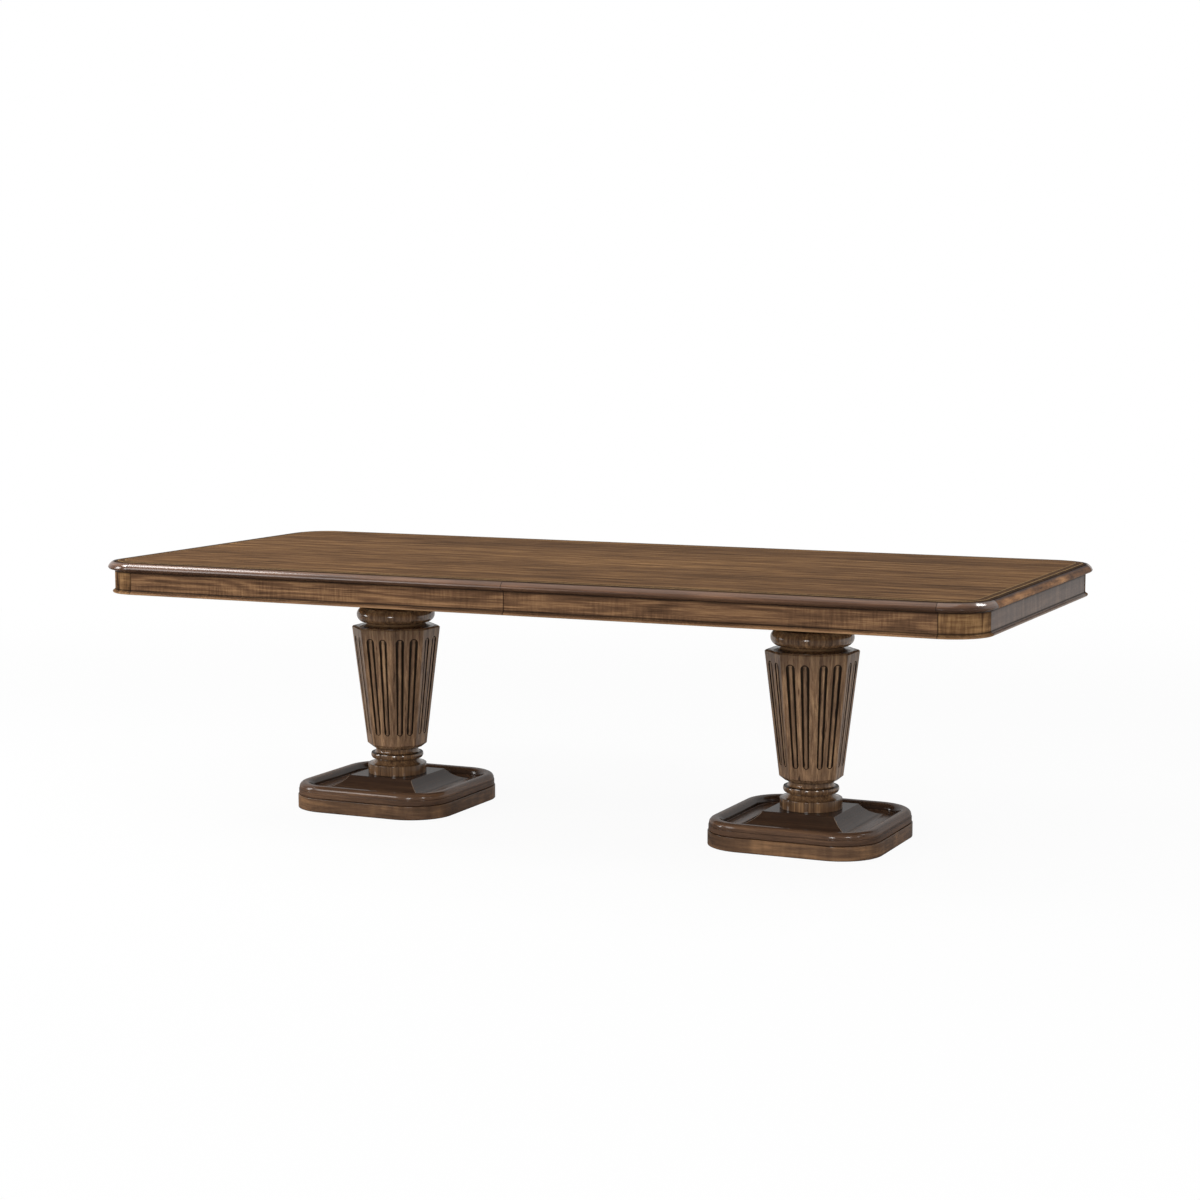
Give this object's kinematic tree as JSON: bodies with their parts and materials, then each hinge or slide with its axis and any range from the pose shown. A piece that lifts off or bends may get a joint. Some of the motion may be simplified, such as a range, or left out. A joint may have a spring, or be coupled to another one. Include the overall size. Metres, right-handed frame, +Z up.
{
  "type": "extending dining table",
  "caption": "Long split-top dining table with rounded corners and a beaded edge, on octagonal fluted pedestals with rounded square plinths; the halves slide apart for leaves.",
  "frame": {"origin": "on the floor under the centre of the table top, with the table shut", "axes": "+X along the length towards the half that slides out, +Y across the width towards the back, +Z up"},
  "size_m": [2.66, 1.22, 0.762],
  "materials": {
    "top_wood": "straight-grained walnut brown under clear gloss lacquer",
    "string_wood": "light inlay string under clear gloss lacquer",
    "crossband_wood": "dark cross-grained band under clear gloss lacquer",
    "moulding_wood": "moulded brown wood with dark glaze in the hollows, gloss lacquer",
    "apron_wood": "figured brown veneer, gloss lacquer",
    "pedestal_wood": "turned and fluted brown wood with dark glaze, gloss lacquer",
    "plinth_wood": "dark brown wood with glazed hollows, gloss lacquer",
    "frame_wood": "plain sanded hardwood, unlacquered",
    "rail_wood": "waxed pale hardwood",
    "steel": "zinc-plated steel",
    "glide_plastic": "matt dark plastic"
  },
  "bodies": {
    "left_half": {"left_top_panel": "top_wood", "left_inlay_strings": "string_wood", "left_crossband": "crossband_wood", "left_bead_front": "moulding_wood", "left_bead_end": "moulding_wood", "left_bead_back": "moulding_wood", "left_bead_corners": "moulding_wood", "left_apron_front": "apron_wood", "left_apron_end": "apron_wood", "left_apron_back": "apron_wood", "left_apron_corners": "apron_wood", "left_bearers": "frame_wood", "left_mounting_board": "frame_wood", "left_corner_braces": "frame_wood", "left_glue_blocks": "frame_wood", "left_slide_rails": "rail_wood", "left_wood_screws": "steel", "left_cap_turning": "pedestal_wood", "left_column": "pedestal_wood", "left_lower_turning": "pedestal_wood", "left_plinth_cap": "plinth_wood", "left_plinth_base": "plinth_wood", "left_glides": "glide_plastic", "left_tie_rod": "steel", "left_tie_nuts": "steel", "left_lock_screws": "steel", "left_lock_plates": "steel", "left_lock_pivots": "steel"},
    "right_half": {"right_top_panel": "top_wood", "right_inlay_strings": "string_wood", "right_crossband": "crossband_wood", "right_bead_front": "moulding_wood", "right_bead_end": "moulding_wood", "right_bead_back": "moulding_wood", "right_bead_corners": "moulding_wood", "right_apron_front": "apron_wood", "right_apron_end": "apron_wood", "right_apron_back": "apron_wood", "right_apron_corners": "apron_wood", "right_bearers": "frame_wood", "right_mounting_board": "frame_wood", "right_corner_braces": "frame_wood", "right_glue_blocks": "frame_wood", "right_slide_rails": "rail_wood", "right_wood_screws": "steel", "right_cap_turning": "pedestal_wood", "right_column": "pedestal_wood", "right_lower_turning": "pedestal_wood", "right_plinth_cap": "plinth_wood", "right_plinth_base": "plinth_wood", "right_glides": "glide_plastic", "right_tie_rod": "steel", "right_tie_nuts": "steel", "right_lock_screws": "steel", "right_alignment_pins": "rail_wood", "right_keepers": "steel"},
    "middle_rails": {"middle_rails": "rail_wood"},
    "back_lock": {"back_lock_lever": "steel"},
    "front_lock": {"front_lock_lever": "steel"}
  },
  "joints": [
    {"name": "extension_slide", "type": "slide", "parent": "left_half", "child": "right_half", "axis": [1, 0, 0], "range_m": [0, 1.016]},
    {"name": "middle_rail_slide", "type": "slide", "parent": "left_half", "child": "middle_rails", "axis": [1, 0, 0], "range_m": [0, 0.508]},
    {"name": "back_lock_swivel", "type": "hinge", "parent": "left_half", "child": "back_lock", "pos_m": [-0.03, 0.39795, 0.7312], "axis": [0, 0, -1], "range_deg": [0, 90]},
    {"name": "front_lock_swivel", "type": "hinge", "parent": "left_half", "child": "front_lock", "pos_m": [-0.03, -0.39795, 0.7312], "axis": [0, 0, 1], "range_deg": [0, 90]}
  ],
  "couplings": [
    {"joint": "middle_rail_slide", "follows": "extension_slide", "ratio": 0.5}
  ]
}
